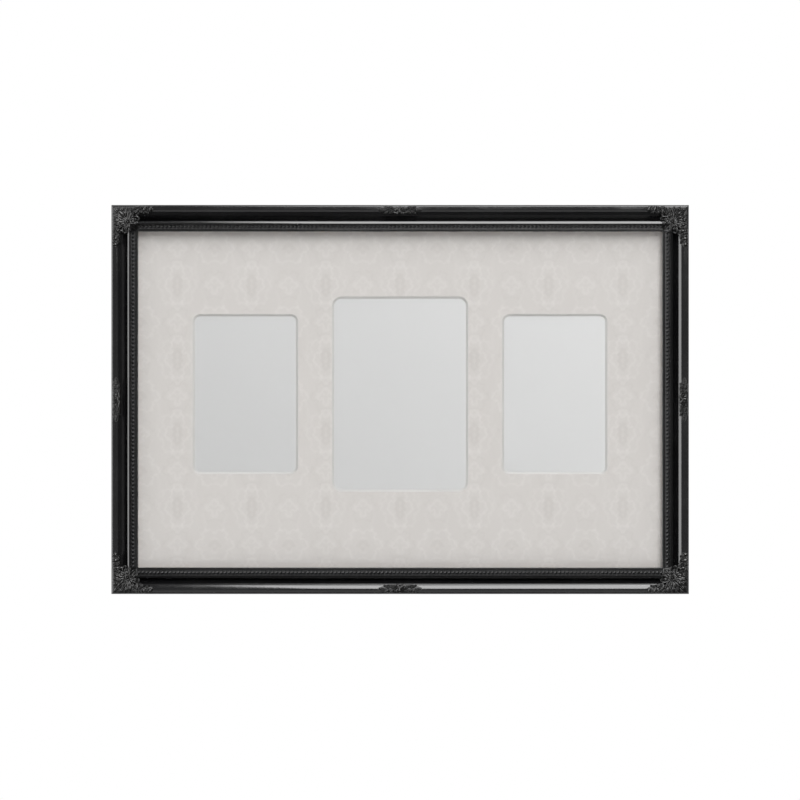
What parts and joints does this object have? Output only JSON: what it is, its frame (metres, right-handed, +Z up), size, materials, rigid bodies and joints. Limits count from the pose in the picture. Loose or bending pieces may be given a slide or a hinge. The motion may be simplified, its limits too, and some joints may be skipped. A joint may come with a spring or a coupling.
{
  "type": "collage photo frame",
  "caption": "Landscape wall frame with a black beaded moulding and leaf castings; its mount board has bevelled portrait apertures side by side for photos.",
  "frame": {"origin": "on the wall plane, behind the middle of the frame", "axes": "+X to the viewer's right, +Y from the front of the frame into the wall, +Z up"},
  "size_m": [0.53, 0.0269, 0.357],
  "materials": {
    "black_moulding": "gloss black lacquer on wood",
    "black_casting": "gloss black on moulded composition",
    "clear_glass": "clear float glass",
    "damask_mount": "pale warm grey card with a faint damask",
    "photo_card": "plain pale grey card",
    "brown_fibreboard": "bare fibreboard",
    "steel_fixing": "zinc-plated steel",
    "steel_button": "black-painted steel",
    "steel_hanger": "zinc-plated steel",
    "rubber_bumper": "soft black rubber"
  },
  "bodies": {
    "frame": {"top_rail": "black_moulding", "top_bead_strip": "black_casting", "top_centre_casting": "black_casting", "bottom_rail": "black_moulding", "bottom_bead_strip": "black_casting", "bottom_centre_casting": "black_casting", "left_rail": "black_moulding", "left_bead_strip": "black_casting", "left_centre_casting": "black_casting", "right_rail": "black_moulding", "right_bead_strip": "black_casting", "right_centre_casting": "black_casting", "top_left_corner_casting": "black_casting", "top_right_corner_casting": "black_casting", "bottom_left_corner_casting": "black_casting", "bottom_right_corner_casting": "black_casting", "glass_pane": "clear_glass", "mount_board": "damask_mount", "left_photo_card": "photo_card", "centre_photo_card": "photo_card", "right_photo_card": "photo_card", "backing_board": "brown_fibreboard", "mitre_v_nails": "steel_fixing", "turn_button_screws": "steel_fixing", "hanger_screws": "steel_fixing", "left_hanger_strap": "steel_hanger", "right_hanger_strap": "steel_hanger", "wall_bumpers": "rubber_bumper"},
    "turn_button_top_left": {"turn_button_top_left": "steel_button"},
    "turn_button_top_centre": {"turn_button_top_centre": "steel_button"},
    "turn_button_top_right": {"turn_button_top_right": "steel_button"},
    "turn_button_bottom_left": {"turn_button_bottom_left": "steel_button"},
    "turn_button_bottom_centre": {"turn_button_bottom_centre": "steel_button"},
    "turn_button_bottom_right": {"turn_button_bottom_right": "steel_button"},
    "turn_button_left_side": {"turn_button_left_side": "steel_button"},
    "turn_button_right_side": {"turn_button_right_side": "steel_button"},
    "left_hanging_ring": {"left_hanging_ring": "steel_hanger"},
    "right_hanging_ring": {"right_hanging_ring": "steel_hanger"}
  },
  "joints": [
    {"name": "turn_top_left", "type": "hinge", "parent": "frame", "child": "turn_button_top_left", "pos_m": [-0.165, -0.0034, 0.1665], "axis": [0, 1, 0], "continuous": true},
    {"name": "turn_top_centre", "type": "hinge", "parent": "frame", "child": "turn_button_top_centre", "pos_m": [0, -0.0034, 0.1665], "axis": [0, 1, 0], "continuous": true},
    {"name": "turn_top_right", "type": "hinge", "parent": "frame", "child": "turn_button_top_right", "pos_m": [0.165, -0.0034, 0.1665], "axis": [0, 1, 0], "continuous": true},
    {"name": "turn_bottom_left", "type": "hinge", "parent": "frame", "child": "turn_button_bottom_left", "pos_m": [-0.165, -0.0034, -0.1665], "axis": [0, 1, 0], "continuous": true},
    {"name": "turn_bottom_centre", "type": "hinge", "parent": "frame", "child": "turn_button_bottom_centre", "pos_m": [0, -0.0034, -0.1665], "axis": [0, 1, 0], "continuous": true},
    {"name": "turn_bottom_right", "type": "hinge", "parent": "frame", "child": "turn_button_bottom_right", "pos_m": [0.165, -0.0034, -0.1665], "axis": [0, 1, 0], "continuous": true},
    {"name": "turn_left_side", "type": "hinge", "parent": "frame", "child": "turn_button_left_side", "pos_m": [-0.253, -0.0034, 0], "axis": [0, 1, 0], "continuous": true},
    {"name": "turn_right_side", "type": "hinge", "parent": "frame", "child": "turn_button_right_side", "pos_m": [0.253, -0.0034, 0], "axis": [0, 1, 0], "continuous": true},
    {"name": "left_ring_swing", "type": "hinge", "parent": "frame", "child": "left_hanging_ring", "pos_m": [-0.255, -0.0021, 0.0805], "axis": [-1, 0, 0], "range_deg": [0, 175]},
    {"name": "right_ring_swing", "type": "hinge", "parent": "frame", "child": "right_hanging_ring", "pos_m": [0.255, -0.0021, 0.0805], "axis": [-1, 0, 0], "range_deg": [0, 175]}
  ]
}
